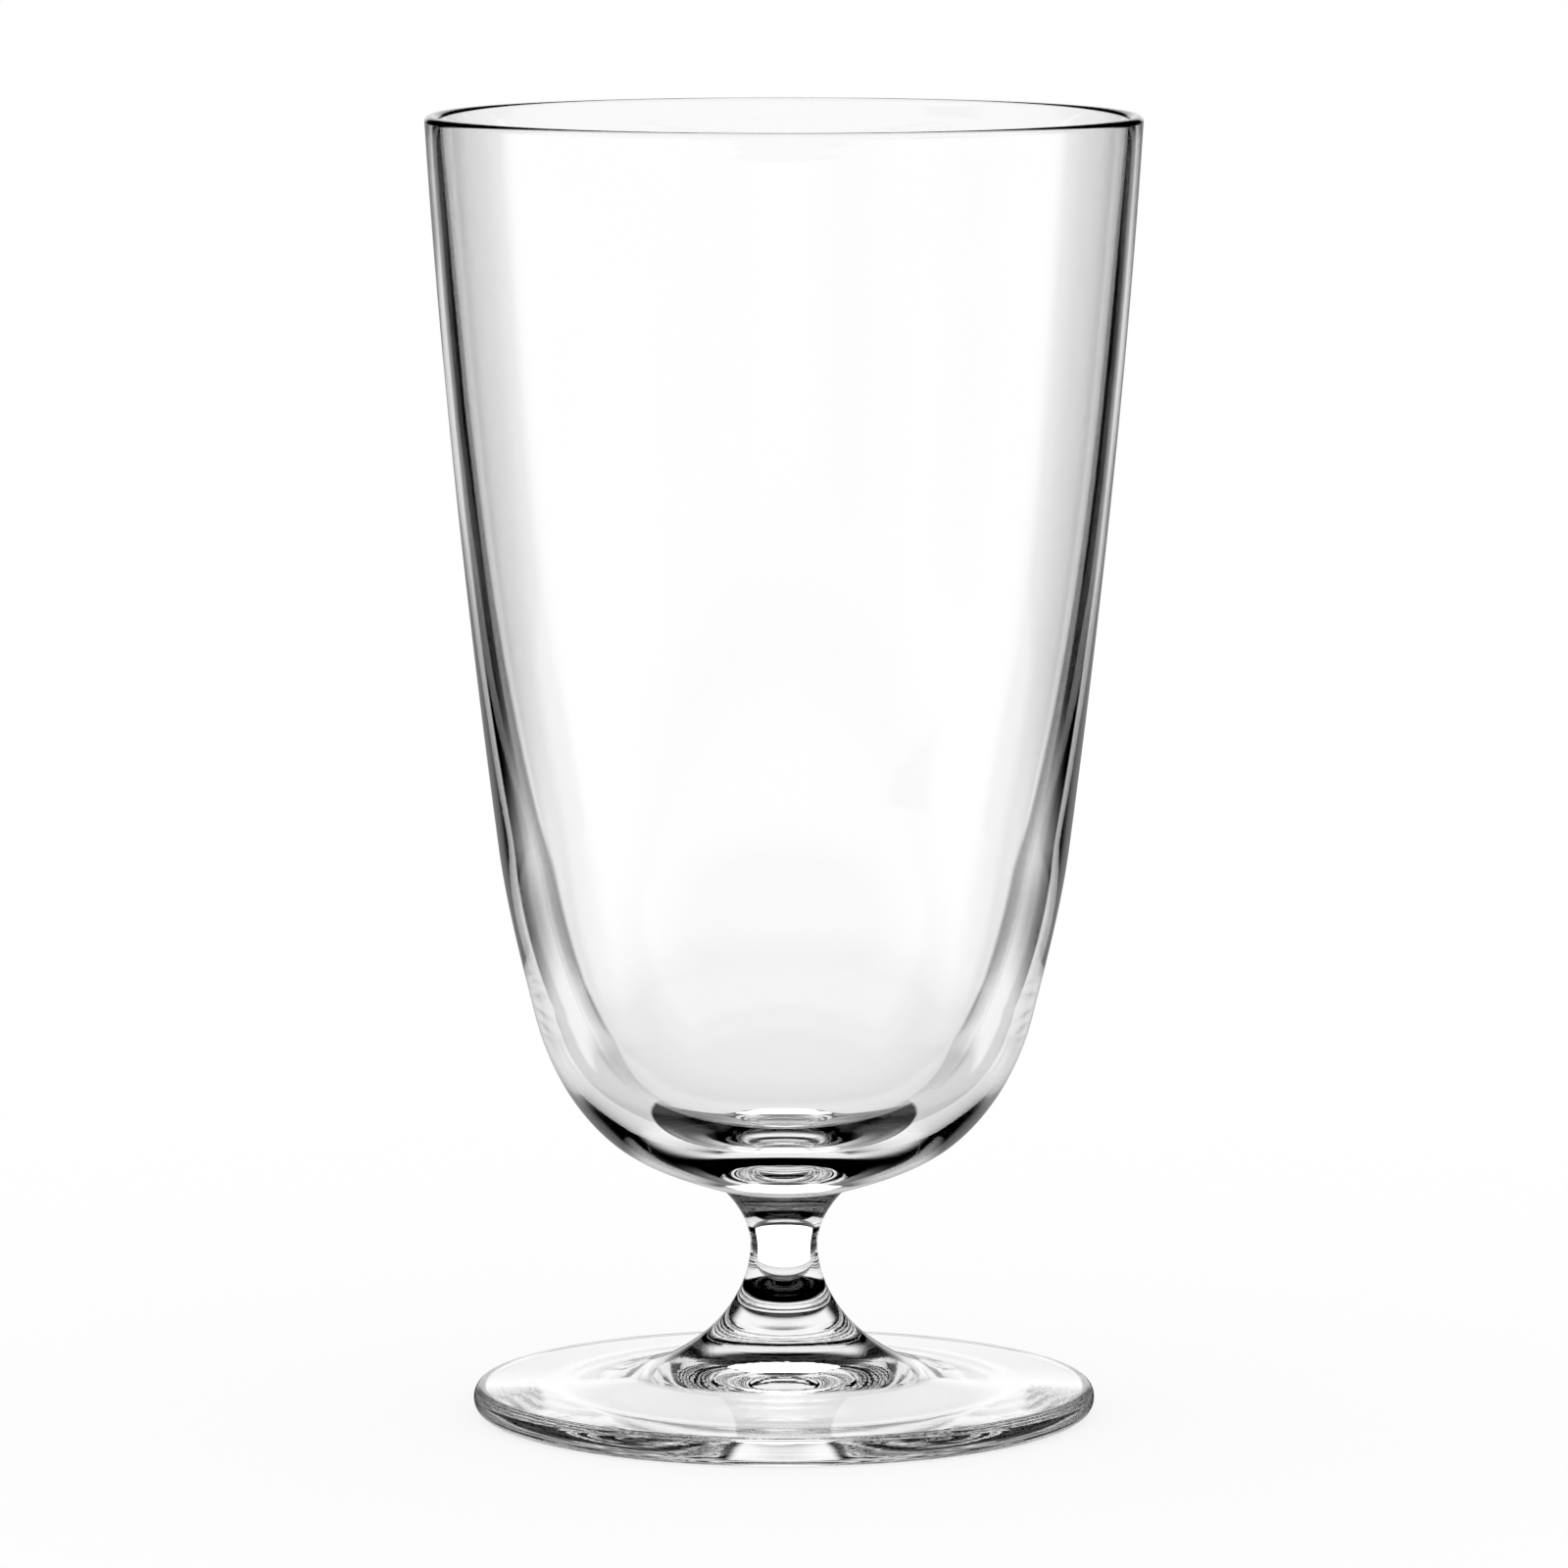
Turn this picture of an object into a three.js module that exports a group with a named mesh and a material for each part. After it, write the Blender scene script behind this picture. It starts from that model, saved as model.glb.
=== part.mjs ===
// A footed highball glass: a blown bowl, a short solid stem and a round foot, three pieces of
// clear glass fused end to end. Millimetres, +Z up, with the origin at the middle of the
// plane that the foot rests on.
import * as THREE from 'three';

// Bowl heights, each measured up from the one before, starting at the stem
const BELLY_HEIGHT = 4.4;
const HEEL_ABOVE_BELLY = 16.1;
const WAIST_ABOVE_HEEL = 19.5;
const RIM_ABOVE_WAIST = 84;

// Bowl outside: its radius at each of those heights
const BELLY_RADIUS = 18;
const HEEL_RADIUS = 28.7;
const WAIST_RADIUS = 32.83;
const RIM_RADIUS = 41;

// Bowl outside: how far it leans out from upright there and at the stem, in degrees
const BOTTOM_LEAN = 73;
const BELLY_LEAN = 58;
const HEEL_LEAN = 13.8;
const WAIST_LEAN = 7.4;
const RIM_LEAN = 3.5;

// Bowl inside: the thickness of the glass, square to the outside, and the lean of the inner face
const BOWL_FLOOR = 6.3;
const HEEL_WALL = 4.6;
const WAIST_WALL = 3.55;
const RIM_WALL = 1.55;
const INNER_HEEL_LEAN = 19.3;
const INNER_WAIST_LEAN = 11.8;
const INNER_RIM_LEAN = 5;

// Stem: its two fused joints, the neck between them, and the lean of its flares at the joints
const BOWL_JOINT_RADIUS = 7;
const NECK_RADIUS = 3.87;
const FOOT_JOINT_RADIUS = 10;
const NECK_TO_BOWL = 6.4;
const NECK_TO_FOOT = 11.1;
const STEM_TOP_LEAN = 46;
const STEM_FLARE_LEAN = -54;

// Foot: the disc and its rounded edge, the boss that carries the stem, and the underside
const FOOT_RADIUS = 35.9;
const EDGE_BELOW_BULGE = 1.9;
const EDGE_ABOVE_BULGE = 1.5;
const EDGE_TOP_ROUND = 1.2;
const EDGE_BOTTOM_ROUND = 1.6;
const FOOT_TOP_RISE = 1.3;
const BOSS_RADIUS = 18.5;
const BOSS_HEIGHT = 3.8;
const BOSS_TOE_LEAN = -84;
const RESTING_RING_WIDTH = 6;
const UNDERSIDE_HOLLOW = 4;

// How far an outline keeps its lean past a station, as a share of the way to the next one
const REACH = 1 / 3;
const FLOOR_REACH = 0.54;

// Facets: around the axis, and along one curved stretch of an outline
const FACETS_AROUND = 64;
const CURVE_STEPS = 6;

// Planes where the pieces meet
const FOOT_EDGE_Z = EDGE_BELOW_BULGE + EDGE_ABOVE_BULGE;
const FOOT_JOINT_Z = FOOT_EDGE_Z + FOOT_TOP_RISE + BOSS_HEIGHT;
const NECK_Z = FOOT_JOINT_Z + NECK_TO_FOOT;
const BOWL_JOINT_Z = NECK_Z + NECK_TO_BOWL;

// A station is a point of an outline and the direction that the outline takes upwards there
function station(radius, z, leanDegrees) {
  const lean = THREE.MathUtils.degToRad(leanDegrees);
  const upward = new THREE.Vector2(Math.sin(lean), Math.cos(lean));
  return { point: new THREE.Vector2(radius, z), upward };
}

// The station on the inner face of a wall, square across its thickness from the outer one
function acrossWall(outer, thickness, leanDegrees) {
  const radius = outer.point.x - thickness * outer.upward.y;
  const z = outer.point.y + thickness * outer.upward.x;
  return station(radius, z, leanDegrees);
}

// The smooth stretch of an outline from a lower station up to a higher one
function rise(lower, higher, lowerReach = REACH) {
  const span = lower.point.distanceTo(higher.point);
  const lowerHandle = lower.point.clone().addScaledVector(lower.upward, lowerReach * span);
  const higherHandle = higher.point.clone().addScaledVector(higher.upward, -REACH * span);
  const curve = new THREE.CubicBezierCurve(lower.point, lowerHandle, higherHandle, higher.point);
  return curve.getPoints(CURVE_STEPS);
}

// The same stretch, drawn from the higher station down to the lower one
function fall(higher, lower, lowerReach = REACH) {
  return rise(lower, higher, lowerReach).reverse();
}

// A rounded corner of an outline: part of an ellipse, between two angles in quarter turns
function round(centreRadius, centreZ, halfWidth, halfHeight, fromQuarter, toQuarter) {
  const from = fromQuarter * Math.PI / 2;
  const to = toQuarter * Math.PI / 2;
  const curve = new THREE.EllipseCurve(centreRadius, centreZ, halfWidth, halfHeight, from, to);
  return curve.getPoints(CURVE_STEPS);
}

function onAxis(z) {
  return new THREE.Vector2(0, z);
}

// Turns an outline, which starts and ends on the axis, into a solid of clear glass
function turnedGlass(name, outline) {
  const points = outline.filter((point, i) => i === 0 || point.distanceTo(outline[i - 1]) > 1e-6);
  const geometry = new THREE.LatheGeometry(points, FACETS_AROUND).rotateX(Math.PI / 2);
  const material = new THREE.MeshStandardMaterial({
    color: 0xf3f6f6, roughness: 0.03, metalness: 0, transparent: true, opacity: 0.35,
  });
  const mesh = new THREE.Mesh(geometry, material);
  mesh.name = name;
  return mesh;
}

// The bowl: flat where it sits on the stem, round from belly to heel, then a long tapered wall
// up to a half-round rim, and inside the same stations across the wall
function makeBowl() {
  const bellyZ = BOWL_JOINT_Z + BELLY_HEIGHT;
  const heelZ = bellyZ + HEEL_ABOVE_BELLY;
  const waistZ = heelZ + WAIST_ABOVE_HEEL;
  const rimRound = RIM_WALL / 2;
  const rimZ = waistZ + RIM_ABOVE_WAIST - rimRound;
  const bottom = station(BOWL_JOINT_RADIUS, BOWL_JOINT_Z, BOTTOM_LEAN);
  const belly = station(BELLY_RADIUS, bellyZ, BELLY_LEAN);
  const heel = station(HEEL_RADIUS, heelZ, HEEL_LEAN);
  const waist = station(WAIST_RADIUS, waistZ, WAIST_LEAN);
  const rim = station(RIM_RADIUS, rimZ, RIM_LEAN);
  const innerRim = station(RIM_RADIUS - RIM_WALL, rimZ, INNER_RIM_LEAN);
  const innerWaist = acrossWall(waist, WAIST_WALL, INNER_WAIST_LEAN);
  const innerHeel = acrossWall(heel, HEEL_WALL, INNER_HEEL_LEAN);
  const floor = station(0, BOWL_JOINT_Z + BOWL_FLOOR, 90);
  return turnedGlass('bowl', [
    onAxis(BOWL_JOINT_Z),
    ...rise(bottom, belly),
    ...rise(belly, heel),
    ...rise(heel, waist),
    ...rise(waist, rim),
    ...round(RIM_RADIUS - rimRound, rimZ, rimRound, rimRound, 0, 2),
    ...fall(innerRim, innerWaist),
    ...fall(innerWaist, innerHeel),
    ...fall(innerHeel, floor, FLOOR_REACH),
  ]);
}

// The stem: solid, flared from its neck to both joints
function makeStem() {
  const flare = station(FOOT_JOINT_RADIUS, FOOT_JOINT_Z, STEM_FLARE_LEAN);
  const neck = station(NECK_RADIUS, NECK_Z, 0);
  const top = station(BOWL_JOINT_RADIUS, BOWL_JOINT_Z, STEM_TOP_LEAN);
  return turnedGlass('stem', [
    onAxis(FOOT_JOINT_Z),
    ...rise(flare, neck),
    ...rise(neck, top),
    onAxis(BOWL_JOINT_Z),
  ]);
}

// The foot: a shallow hollow inside a flat resting ring, a rounded edge, a top that climbs
// gently to the boss, and the boss swept up to the stem
function makeFoot() {
  const ringOuter = FOOT_RADIUS - EDGE_BOTTOM_ROUND;
  const edgeTop = FOOT_RADIUS - EDGE_TOP_ROUND;
  const hollow = station(0, UNDERSIDE_HOLLOW, -90);
  const ringInner = station(ringOuter - RESTING_RING_WIDTH, 0, -90);
  const toe = station(BOSS_RADIUS, FOOT_EDGE_Z + FOOT_TOP_RISE, BOSS_TOE_LEAN);
  const joint = station(FOOT_JOINT_RADIUS, FOOT_JOINT_Z, STEM_FLARE_LEAN);
  return turnedGlass('foot', [
    ...fall(hollow, ringInner),
    ...round(ringOuter, EDGE_BELOW_BULGE, EDGE_BOTTOM_ROUND, EDGE_BELOW_BULGE, -1, 0),
    ...round(edgeTop, EDGE_BELOW_BULGE, EDGE_TOP_ROUND, EDGE_ABOVE_BULGE, 0, 1),
    ...rise(toe, joint),
    onAxis(FOOT_JOINT_Z),
  ]);
}

const glass = new THREE.Group();
glass.name = 'footed_highball_glass';
glass.add(makeBowl(), makeStem(), makeFoot());

export default glass;
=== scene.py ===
"""A footed highball glass of clear glass, standing on a white table in a bright-field studio."""
import math

import bmesh
import bpy
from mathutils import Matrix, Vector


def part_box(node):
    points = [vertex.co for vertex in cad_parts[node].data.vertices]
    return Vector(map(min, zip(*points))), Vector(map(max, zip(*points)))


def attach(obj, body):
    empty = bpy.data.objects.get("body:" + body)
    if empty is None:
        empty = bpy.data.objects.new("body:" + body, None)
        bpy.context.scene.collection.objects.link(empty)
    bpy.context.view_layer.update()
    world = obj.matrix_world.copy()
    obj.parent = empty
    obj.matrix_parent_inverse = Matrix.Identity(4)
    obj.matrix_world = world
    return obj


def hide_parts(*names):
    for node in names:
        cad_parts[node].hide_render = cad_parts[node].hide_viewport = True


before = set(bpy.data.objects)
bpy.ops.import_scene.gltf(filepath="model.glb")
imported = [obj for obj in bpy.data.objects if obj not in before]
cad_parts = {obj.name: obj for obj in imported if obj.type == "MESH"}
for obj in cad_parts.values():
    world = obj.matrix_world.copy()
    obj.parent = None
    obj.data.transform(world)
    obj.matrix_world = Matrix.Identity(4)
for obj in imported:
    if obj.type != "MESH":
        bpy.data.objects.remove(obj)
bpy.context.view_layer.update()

MM = 0.001

# Heights and radii taken from the frame, in metres
BOWL_LOW, BOWL_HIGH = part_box("bowl")
STEM_LOW, STEM_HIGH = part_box("stem")
FOOT_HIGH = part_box("foot")[1]
RIM_TOP = BOWL_HIGH[2]
RIM_RADIUS = BOWL_HIGH[0]
BOWL_JOINT = BOWL_LOW[2]
FOOT_JOINT = STEM_LOW[2]
FOOT_JOINT_RADIUS = STEM_HIGH[0]
FOOT_RADIUS = FOOT_HIGH[0]

# Bowl outside: height above the stem, radius and lean from upright in degrees
BOTTOM_LEAN = 73
BELLY_HEIGHT, BELLY_RADIUS, BELLY_LEAN = 4.4 * MM, 18 * MM, 58
HEEL_HEIGHT, HEEL_RADIUS, HEEL_LEAN = 20.5 * MM, 28.7 * MM, 13.8
WAIST_HEIGHT, WAIST_RADIUS, WAIST_LEAN = 40 * MM, 32.83 * MM, 7.4
RIM_LEAN = 3.5

# Bowl inside: wall thickness square to the outside, and lean of the inner face
BOWL_FLOOR = 6.3 * MM
HEEL_WALL, INNER_HEEL_LEAN = 4.6 * MM, 19.3
WAIST_WALL, INNER_WAIST_LEAN = 3.55 * MM, 11.8
RIM_WALL, INNER_RIM_LEAN = 1.55 * MM, 5

# Stem and foot
BOWL_JOINT_RADIUS = 7 * MM
NECK_RADIUS = 3.87 * MM
NECK_BELOW_BOWL = 6.4 * MM
STEM_TOP_LEAN = 46
STEM_FLARE_LEAN = -54
EDGE_BELOW_BULGE = 1.9 * MM
EDGE_ABOVE_BULGE = 1.5 * MM
EDGE_TOP_ROUND = 1.2 * MM
EDGE_BOTTOM_ROUND = 1.6 * MM
FOOT_TOP_RISE = 1.3 * MM
BOSS_RADIUS, BOSS_TOE_LEAN = 18.5 * MM, -84
RESTING_RING_WIDTH = 6 * MM
UNDERSIDE_HOLLOW = 4 * MM

# Outlines: how far one keeps its lean past a station, as a share of the way to the next one
REACH = 1 / 3
FLOOR_REACH = 0.54

# Meshes: steps round the axis and along one curved stretch, and how close points count as one
TURN_STEPS = 256
CURVE_STEPS = 40
TOUCHING = 1e-7

# Glass: refractive index, waves from blowing, and marks from tooling: their width, their turn
# round the axis in radians, and their depth on each piece
GLASS_IOR = 1.52
WAVE_LENGTH = 18 * MM
WAVE_DEPTH = 0.02 * MM
MARK_WIDTH = 0.5 * MM
MARK_TURN = 0.7
BOWL_MARK_DEPTH = 0.0005 * MM
STEM_MARK_DEPTH = 0.002 * MM
FOOT_MARK_DEPTH = 0.004 * MM

# Camera: distance and height in metres, tilt down in degrees, lens and sensor in millimetres
CAMERA_DISTANCE = 1.1141
CAMERA_HEIGHT = 0.20642
CAMERA_TILT = 6.823
CAMERA_LENS = 224.07
CAMERA_SENSOR = 36

# Studio: table and surroundings are white wherever the camera sees them. The glass sees bright
# panels with dark between them instead, so that its edges and curves are drawn in black.
TABLE_RADIUS = 250 * MM
TABLE_STEPS = 128
SHADOW = 0.2
LIGHT_BOUNCES = 24

# Panels seen through the glass, dark gaps in them, and panels mirrored in the glass: middle
# azimuths (0 is behind the glass, 90 at the camera's right), half width, lowest and highest
# elevation, softness across and upwards (all in degrees), and brightness
PANELS_THROUGH = (
    ((0,), 18.5, -75, 5, 1.5, 5, 1),
    ((0,), 22, 0, 16, 4, 6, 1),
    ((0,), 50, -60, -20, 8, 4, 0.72),
    ((-45, 45), 17, -34, -20, 6, 5, 1),
    ((180,), 112, -34, 10, 6, 3, 1),
    ((180,), 84, 10, 45, 6, 3, 1),
)
DARK_THROUGH = (
    ((-122,), 10, -6, -1.5, 4, 0.7, 1),
    ((-70, 70), 5, -16.5, -5, 3, 1.5, 1),
    ((113, 157), 9, -18.5, -12, 8, 1.5, 0.3),
)
PANELS_MIRRORED = (
    ((0,), 13, -1, 15, 4, 2, 1),
    ((0,), 13, 1, 20, 4, 6, 1),
    ((0,), 26, -30, -1, 5, 2, 0.33),
    ((180,), 108, -30, -1, 6, 2, 1),
)

# Rings of the floor, which only the glass sees, painted with shade and sheen: black where seen
# steeply under the boss and the foot, a white glow under the foot at a glancing angle, and black
# before and behind the foot at a glancing angle. Inner and outer radius in millimetres, middle
# azimuths and half width in degrees, brightness seen steeply and at a glancing angle (None is
# clear), and where one turns into the other, on a scale from 0, straight down, to 1, level
FLOOR_RINGS = {
    # painted shadow under the boss: black seen steeply
    "under_boss": (0.1, 15, (0,), 180, 0, None, 0.28, 0.47),
    # painted shade under the foot seen steeply, and a painted sheen of the table at a glancing angle
    "under_foot": (15, 35.5, (0,), 180, 0, 1, 0.28, 0.47),
    # painted shade behind and before the foot: black at a glancing angle
    "behind_foot": (36.2, 60, (-44, 44), 36, None, 0, 0.6, 0.7),
    "before_foot": (36.2, 60, (180,), 100, None, 0, 0.6, 0.7),
}
FLOOR_Z = -0.1 * MM
RING_STEPS = 96

# Small lamp behind the stem, which only shows through the glass; its power is in watts
STEM_LAMP_WIDTH = 7 * MM
STEM_LAMP_HEIGHT = 10.6 * MM
STEM_LAMP_PLACE = (0, 8.5 * MM, 19.2 * MM)
STEM_LAMP_POWER = 0.0004


def station(radius, z, lean):
    """A point of an outline and the direction that the outline takes upwards there."""
    angle = math.radians(lean)
    return (radius, z), (math.sin(angle), math.cos(angle))


def across_wall(outer, thickness, lean):
    """The station on the inner face of a wall, square across its thickness."""
    (radius, z), (out, up) = outer
    return station(radius - thickness * up, z + thickness * out, lean)


def rise(lower, higher, lower_reach=REACH):
    """The smooth stretch of an outline from a lower station up to a higher one."""
    (low_radius, low_z), (low_out, low_up) = lower
    (high_radius, high_z), (high_out, high_up) = higher
    span = math.hypot(high_radius - low_radius, high_z - low_z)
    handles = (
        (low_radius, low_z),
        (low_radius + low_out * lower_reach * span, low_z + low_up * lower_reach * span),
        (high_radius - high_out * REACH * span, high_z - high_up * REACH * span),
        (high_radius, high_z),
    )
    points = []
    for i in range(CURVE_STEPS + 1):
        t = i / CURVE_STEPS
        weights = ((1 - t) ** 3, 3 * t * (1 - t) ** 2, 3 * t * t * (1 - t), t ** 3)
        radius = sum(weight * handle[0] for weight, handle in zip(weights, handles))
        z = sum(weight * handle[1] for weight, handle in zip(weights, handles))
        points.append((radius, z))
    return points


def fall(higher, lower, lower_reach=REACH):
    """The same stretch, drawn from the higher station down to the lower one."""
    return rise(lower, higher, lower_reach)[::-1]


def corner(centre_radius, centre_z, half_width, half_height, from_quarter, to_quarter):
    """A rounded corner of an outline: part of an ellipse, between two angles in quarter turns."""
    points = []
    for i in range(CURVE_STEPS + 1):
        quarters = from_quarter + (to_quarter - from_quarter) * i / CURVE_STEPS
        angle = quarters * math.pi / 2
        radius = centre_radius + half_width * math.cos(angle)
        z = centre_z + half_height * math.sin(angle)
        points.append((radius, z))
    return points


def bowl_outline():
    """From the stem's joint up the outside to the rim, and down the inside to the floor."""
    rim_round = RIM_WALL / 2
    rim_z = RIM_TOP - rim_round
    bottom = station(BOWL_JOINT_RADIUS, BOWL_JOINT, BOTTOM_LEAN)
    belly = station(BELLY_RADIUS, BOWL_JOINT + BELLY_HEIGHT, BELLY_LEAN)
    heel = station(HEEL_RADIUS, BOWL_JOINT + HEEL_HEIGHT, HEEL_LEAN)
    waist = station(WAIST_RADIUS, BOWL_JOINT + WAIST_HEIGHT, WAIST_LEAN)
    rim = station(RIM_RADIUS, rim_z, RIM_LEAN)
    inner_rim = station(RIM_RADIUS - RIM_WALL, rim_z, INNER_RIM_LEAN)
    inner_waist = across_wall(waist, WAIST_WALL, INNER_WAIST_LEAN)
    inner_heel = across_wall(heel, HEEL_WALL, INNER_HEEL_LEAN)
    floor = station(0, BOWL_JOINT + BOWL_FLOOR, 90)
    return (
        [(0, BOWL_JOINT)]
        + rise(bottom, belly) + rise(belly, heel) + rise(heel, waist) + rise(waist, rim)
        + corner(RIM_RADIUS - rim_round, rim_z, rim_round, rim_round, 0, 2)
        + fall(inner_rim, inner_waist) + fall(inner_waist, inner_heel)
        + fall(inner_heel, floor, FLOOR_REACH)
    )


def stem_outline():
    """From the foot's joint in to the neck and out again to the bowl's joint."""
    flare = station(FOOT_JOINT_RADIUS, FOOT_JOINT, STEM_FLARE_LEAN)
    neck = station(NECK_RADIUS, BOWL_JOINT - NECK_BELOW_BOWL, 0)
    top = station(BOWL_JOINT_RADIUS, BOWL_JOINT, STEM_TOP_LEAN)
    return [(0, FOOT_JOINT)] + rise(flare, neck) + rise(neck, top) + [(0, BOWL_JOINT)]


def foot_outline():
    """From the hollow underside over the resting ring and the edge up the boss to the joint."""
    ring_outer = FOOT_RADIUS - EDGE_BOTTOM_ROUND
    edge_top = FOOT_RADIUS - EDGE_TOP_ROUND
    edge_z = EDGE_BELOW_BULGE + EDGE_ABOVE_BULGE
    hollow = station(0, UNDERSIDE_HOLLOW, -90)
    ring_inner = station(ring_outer - RESTING_RING_WIDTH, 0, -90)
    toe = station(BOSS_RADIUS, edge_z + FOOT_TOP_RISE, BOSS_TOE_LEAN)
    joint = station(FOOT_JOINT_RADIUS, FOOT_JOINT, STEM_FLARE_LEAN)
    return (
        fall(hollow, ring_inner)
        + corner(ring_outer, EDGE_BELOW_BULGE, EDGE_BOTTOM_ROUND, EDGE_BELOW_BULGE, -1, 0)
        + corner(edge_top, EDGE_BELOW_BULGE, EDGE_TOP_ROUND, EDGE_ABOVE_BULGE, 0, 1)
        + rise(toe, joint) + [(0, FOOT_JOINT)]
    )


def add_object(name, data):
    """A new object in the scene, made of a mesh, lamp or camera."""
    added = bpy.data.objects.new(name, data)
    bpy.context.collection.objects.link(added)
    return added


def add_mesh(name, bm, materials):
    """A new object in the scene, made of the faces in a bmesh, which is used up."""
    mesh = bpy.data.meshes.new(name)
    bm.to_mesh(mesh)
    bm.free()
    for material in materials:
        mesh.materials.append(material)
    return add_object(name, mesh)


def turned(name, outline, joint_heights, materials):
    """Turns an outline that starts and ends on the axis; faces at a joint take materials[1]."""
    points = [outline[0]]
    for point in outline[1:]:
        if math.dist(point, points[-1]) > TOUCHING:
            points.append(point)
    bm = bmesh.new()
    rings = []
    for radius, z in points:
        ring = []
        for k in range(1 if radius < TOUCHING else TURN_STEPS):
            angle = 2 * math.pi * k / TURN_STEPS
            ring.append(bm.verts.new((radius * math.cos(angle), radius * math.sin(angle), z)))
        rings.append(ring)
    for lower, upper in zip(rings, rings[1:]):
        for k in range(TURN_STEPS):
            following = (k + 1) % TURN_STEPS
            around = (
                lower[k % len(lower)], lower[following % len(lower)],
                upper[following % len(upper)], upper[k % len(upper)],
            )
            face = bm.faces.new(list(dict.fromkeys(around)))
            face.smooth = True
            for joint_z in joint_heights:
                if all(abs(vert.co.z - joint_z) < TOUCHING for vert in face.verts):
                    face.material_index = 1
    for edge in bm.edges:
        if len({face.material_index for face in edge.link_faces}) > 1:
            edge.smooth = False
    return add_mesh(name, bm, materials)


def node_math(tree, operation, a, b=None, c=None):
    """The output of a Math node; each value is a number or another node's output."""
    node = tree.nodes.new("ShaderNodeMath")
    node.operation = operation
    for socket, value in zip(node.inputs, (a, b, c)):
        if value is None:
            continue
        if isinstance(value, (int, float)):
            socket.default_value = value
        else:
            tree.links.new(value, socket)
    return node.outputs[0]


def smooth_step(tree, value, low, high):
    """0 below low and 1 above high, or the other way round where low is the larger."""
    node = tree.nodes.new("ShaderNodeMapRange")
    node.interpolation_type = "SMOOTHSTEP"
    tree.links.new(value, node.inputs["Value"])
    node.inputs["From Min"].default_value = low
    node.inputs["From Max"].default_value = high
    return node.outputs["Result"]


def noise_bump(tree, vector, depth, normal=None):
    """Small dents of about this depth, with noise over the given vector."""
    noise = tree.nodes.new("ShaderNodeTexNoise")
    noise.inputs["Scale"].default_value = 1
    noise.inputs["Detail"].default_value = 1
    tree.links.new(vector, noise.inputs["Vector"])
    bump = tree.nodes.new("ShaderNodeBump")
    bump.inputs["Strength"].default_value = 1
    bump.inputs["Distance"].default_value = depth
    tree.links.new(noise.outputs[0], bump.inputs["Height"])
    if normal is not None:
        tree.links.new(normal, bump.inputs["Normal"])
    return bump.outputs["Normal"]


def clear_glass(name, mark_depth):
    """Clear glass, slightly wavy from blowing, with fine marks round the axis from tooling."""
    material = bpy.data.materials.new(name)
    material.use_nodes = True
    tree = material.node_tree
    shader = tree.nodes["Principled BSDF"]
    shader.inputs["Base Color"].default_value = (1, 1, 1, 1)
    shader.inputs["Roughness"].default_value = 0
    shader.inputs["IOR"].default_value = GLASS_IOR
    shader.inputs["Transmission Weight"].default_value = 1
    place = tree.nodes.new("ShaderNodeTexCoord").outputs["Object"]
    waves = tree.nodes.new("ShaderNodeVectorMath")
    waves.operation = "SCALE"
    waves.inputs["Scale"].default_value = 1 / WAVE_LENGTH
    tree.links.new(place, waves.inputs[0])
    split = tree.nodes.new("ShaderNodeSeparateXYZ")
    tree.links.new(place, split.inputs[0])
    x, y, z = split.outputs
    square_x = node_math(tree, "MULTIPLY", x, x)
    square_y = node_math(tree, "MULTIPLY", y, y)
    radius = node_math(tree, "SQRT", node_math(tree, "ADD", square_x, square_y))
    turn = node_math(tree, "ARCTAN2", y, x)
    marks = tree.nodes.new("ShaderNodeCombineXYZ")
    sizes = ((radius, MARK_WIDTH), (z, MARK_WIDTH), (turn, MARK_TURN))
    for socket, (value, size) in zip(marks.inputs, sizes):
        tree.links.new(node_math(tree, "DIVIDE", value, size), socket)
    normal = noise_bump(tree, waves.outputs[0], WAVE_DEPTH)
    normal = noise_bump(tree, marks.outputs[0], mark_depth, normal)
    tree.links.new(normal, shader.inputs["Normal"])
    return material


def empty_material(name):
    """A new material, its node tree and the socket that its shader goes into."""
    material = bpy.data.materials.new(name)
    material.use_nodes = True
    tree = material.node_tree
    tree.nodes.clear()
    output = tree.nodes.new("ShaderNodeOutputMaterial")
    return material, tree, output.inputs["Surface"]


def even_shader(tree, brightness):
    """An even glow, or clear where the brightness is None."""
    if brightness is None:
        return tree.nodes.new("ShaderNodeBsdfTransparent").outputs[0]
    shader = tree.nodes.new("ShaderNodeEmission")
    shader.inputs["Strength"].default_value = brightness
    return shader.outputs[0]


def fused_joint():
    """The plane inside the glass where two pieces are fused: nothing shows there."""
    material, tree, surface = empty_material("fused_joint")
    tree.links.new(even_shader(tree, None), surface)
    return material


def painted_shade_and_sheen(name, steep, glancing, low, high):
    """Painted light on the floor: one glow, black or clear where it is seen steeply and another at a
    glancing angle, which the glass shows as painted shade and a painted sheen of the table.
    """
    material, tree, surface = empty_material(name)
    angle = tree.nodes.new("ShaderNodeLayerWeight")
    mix = tree.nodes.new("ShaderNodeMixShader")
    tree.links.new(smooth_step(tree, angle.outputs["Facing"], low, high), mix.inputs[0])
    tree.links.new(even_shader(tree, steep), mix.inputs[1])
    tree.links.new(even_shader(tree, glancing), mix.inputs[2])
    tree.links.new(mix.outputs[0], surface)
    return material


def table_white():
    """White that keeps a faint shadow."""
    material, tree, surface = empty_material("table_white")
    shaded = tree.nodes.new("ShaderNodeBsdfDiffuse")
    shaded.inputs["Color"].default_value = (1, 1, 1, 1)
    mix = tree.nodes.new("ShaderNodeMixShader")
    mix.inputs[0].default_value = SHADOW
    tree.links.new(even_shader(tree, 1), mix.inputs[1])
    tree.links.new(shaded.outputs[0], mix.inputs[2])
    tree.links.new(mix.outputs[0], surface)
    return material


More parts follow.
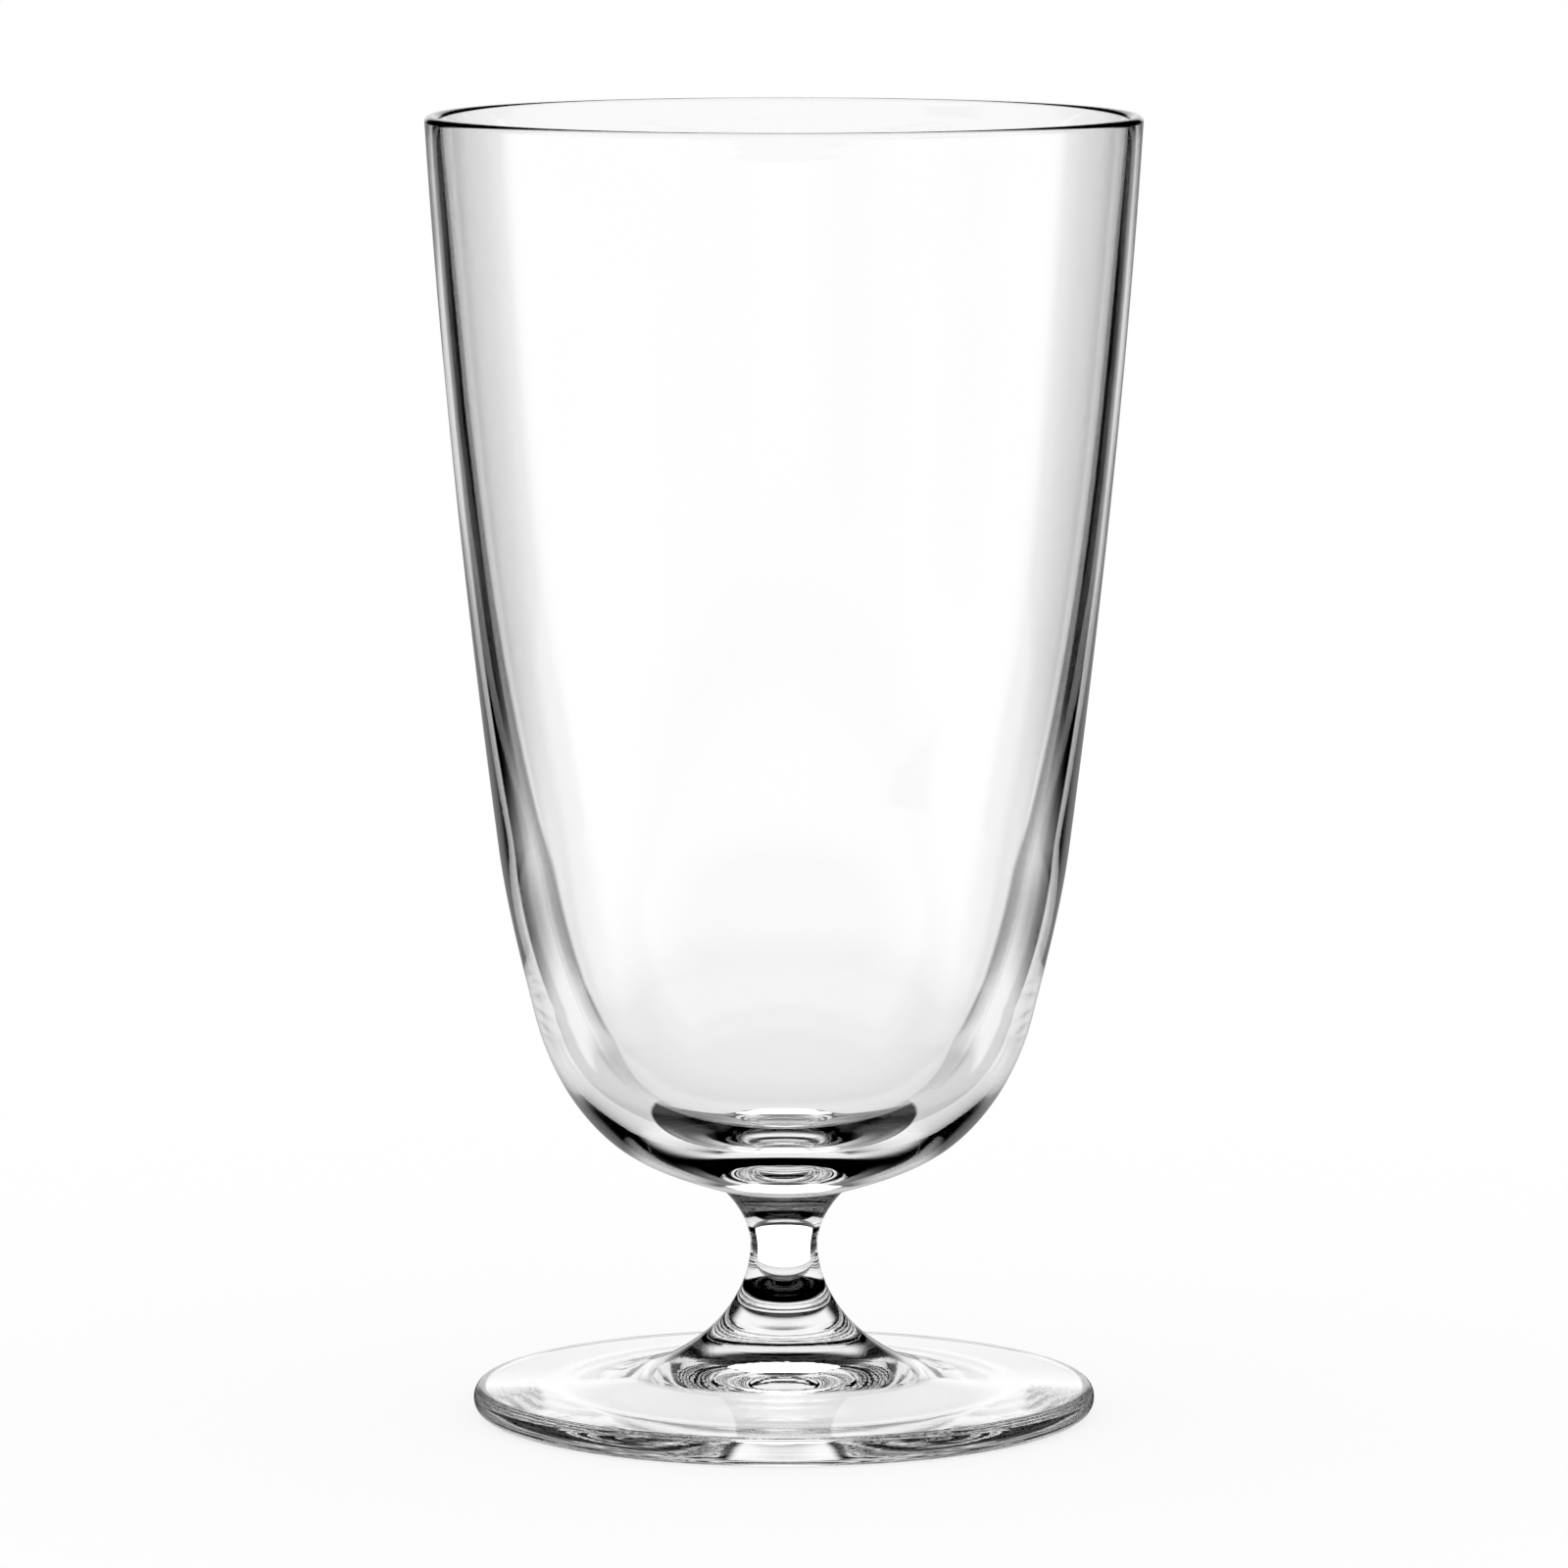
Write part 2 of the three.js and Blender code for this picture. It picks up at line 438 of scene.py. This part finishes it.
def panel(tree, azimuth, elevation, middle, half_width, low, high, soft_across, soft_up, brightness):
    """The brightness inside one panel of the surroundings and 0 outside, with soft edges."""
    turned_by = node_math(tree, "SUBTRACT", azimuth, middle)
    off_middle = node_math(tree, "ABSOLUTE", node_math(tree, "WRAP", turned_by, 180, -180))
    across = smooth_step(tree, off_middle, half_width + soft_across, half_width - soft_across)
    above = smooth_step(tree, elevation, low - soft_up, low + soft_up)
    below = smooth_step(tree, elevation, high + soft_up, high - soft_up)
    inside = node_math(tree, "MULTIPLY", across, node_math(tree, "MULTIPLY", above, below))
    return node_math(tree, "MULTIPLY", inside, brightness)


def brightest(tree, azimuth, elevation, panels):
    """The brightness of the brightest of some panels in each direction."""
    brightness = 0
    for middles, *numbers in panels:
        for middle in middles:
            one = panel(tree, azimuth, elevation, middle, *numbers)
            brightness = node_math(tree, "MAXIMUM", brightness, one)
    return brightness


def studio_world():
    """Surroundings that are white to the camera and the table, and panels to the glass."""
    world = bpy.data.worlds.new("studio")
    bpy.context.scene.world = world
    world.use_nodes = True
    tree = world.node_tree
    background = tree.nodes["Background"]
    background.inputs["Color"].default_value = (1, 1, 1, 1)
    split = tree.nodes.new("ShaderNodeSeparateXYZ")
    tree.links.new(tree.nodes.new("ShaderNodeTexCoord").outputs["Generated"], split.inputs[0])
    x, y, z = split.outputs
    azimuth = node_math(tree, "DEGREES", node_math(tree, "ARCTAN2", x, y))
    elevation = node_math(tree, "DEGREES", node_math(tree, "ARCSINE", z))
    through = brightest(tree, azimuth, elevation, PANELS_THROUGH)
    dark = brightest(tree, azimuth, elevation, DARK_THROUGH)
    through = node_math(tree, "SUBTRACT", through, dark)
    mirrored = brightest(tree, azimuth, elevation, PANELS_MIRRORED)
    ray = tree.nodes.new("ShaderNodeLightPath").outputs
    plain = node_math(tree, "MAXIMUM", ray["Is Camera Ray"], ray["Is Diffuse Ray"])
    in_glass = tree.nodes.new("ShaderNodeMix")
    tree.links.new(ray["Is Transmission Ray"], in_glass.inputs["Factor"])
    tree.links.new(mirrored, in_glass.inputs["A"])
    tree.links.new(through, in_glass.inputs["B"])
    strength = node_math(tree, "MAXIMUM", plain, in_glass.outputs["Result"])
    tree.links.new(strength, background.inputs["Strength"])


def table():
    """A white table top; the glass sees the panels and the floor rings instead of it."""
    bm = bmesh.new()
    bmesh.ops.create_circle(bm, cap_ends=True, segments=TABLE_STEPS, radius=TABLE_RADIUS)
    top = add_mesh("table", bm, [table_white()])
    top.visible_glossy = False
    top.visible_transmission = False


def floor_ring(name, inner, outer, middles, half_width, *painted_light):
    """A ring of the floor or parts of one, just under the table top, which only the glass sees; it
    carries painted shade and a painted sheen.
    """
    bm = bmesh.new()
    for middle in middles:
        arcs = []
        for radius in (inner * MM, outer * MM):
            arc = []
            for i in range(RING_STEPS + 1):
                angle = math.radians(middle + half_width * (2 * i / RING_STEPS - 1))
                place = (radius * math.sin(angle), radius * math.cos(angle), FLOOR_Z)
                arc.append(bm.verts.new(place))
            arcs.append(arc)
        near, far = arcs
        for i in range(RING_STEPS):
            bm.faces.new((near[i], near[i + 1], far[i + 1], far[i]))
    ring = add_mesh(name, bm, [painted_shade_and_sheen(name, *painted_light)])
    ring.visible_camera = False
    ring.visible_diffuse = False
    ring.visible_shadow = False


def stem_lamp():
    """A lamp that makes the bright window in the middle of the stem."""
    light = bpy.data.lights.new("stem_lamp", "AREA")
    light.shape = "RECTANGLE"
    light.size = STEM_LAMP_WIDTH
    light.size_y = STEM_LAMP_HEIGHT
    light.energy = STEM_LAMP_POWER
    lamp = add_object("stem_lamp", light)
    lamp.location = STEM_LAMP_PLACE
    lamp.rotation_euler = (math.radians(-90), 0, 0)
    lamp.visible_camera = False
    lamp.visible_diffuse = False
    lamp.visible_glossy = False


def add_camera():
    """The camera, level across and tilted down towards the glass."""
    lens = bpy.data.cameras.new("camera")
    lens.lens = CAMERA_LENS
    lens.sensor_width = CAMERA_SENSOR
    camera = add_object("camera", lens)
    camera.location = (0, -CAMERA_DISTANCE, CAMERA_HEIGHT)
    camera.rotation_euler = (math.radians(90 - CAMERA_TILT), 0, 0)
    bpy.context.scene.camera = camera


joint = fused_joint()
bowl_glass = clear_glass("bowl_glass", BOWL_MARK_DEPTH)
stem_glass = clear_glass("stem_glass", STEM_MARK_DEPTH)
foot_glass = clear_glass("foot_glass", FOOT_MARK_DEPTH)
bowl = turned("glass_bowl", bowl_outline(), [BOWL_JOINT], [bowl_glass, joint])
stem = turned("glass_stem", stem_outline(), [FOOT_JOINT, BOWL_JOINT], [stem_glass, joint])
foot = turned("glass_foot", foot_outline(), [FOOT_JOINT], [foot_glass, joint])
for piece, node in ((bowl, "bowl"), (stem, "stem"), (foot, "foot")):
    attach(piece, "root")
    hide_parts(node)

add_camera()
studio_world()
table()
stem_lamp()
for name, ring in FLOOR_RINGS.items():
    floor_ring(name, *ring)
scene = bpy.context.scene
scene.view_settings.view_transform = "Standard"
scene.cycles.max_bounces = LIGHT_BOUNCES
scene.cycles.transmission_bounces = LIGHT_BOUNCES
scene.cycles.glossy_bounces = LIGHT_BOUNCES
scene.cycles.transparent_max_bounces = LIGHT_BOUNCES
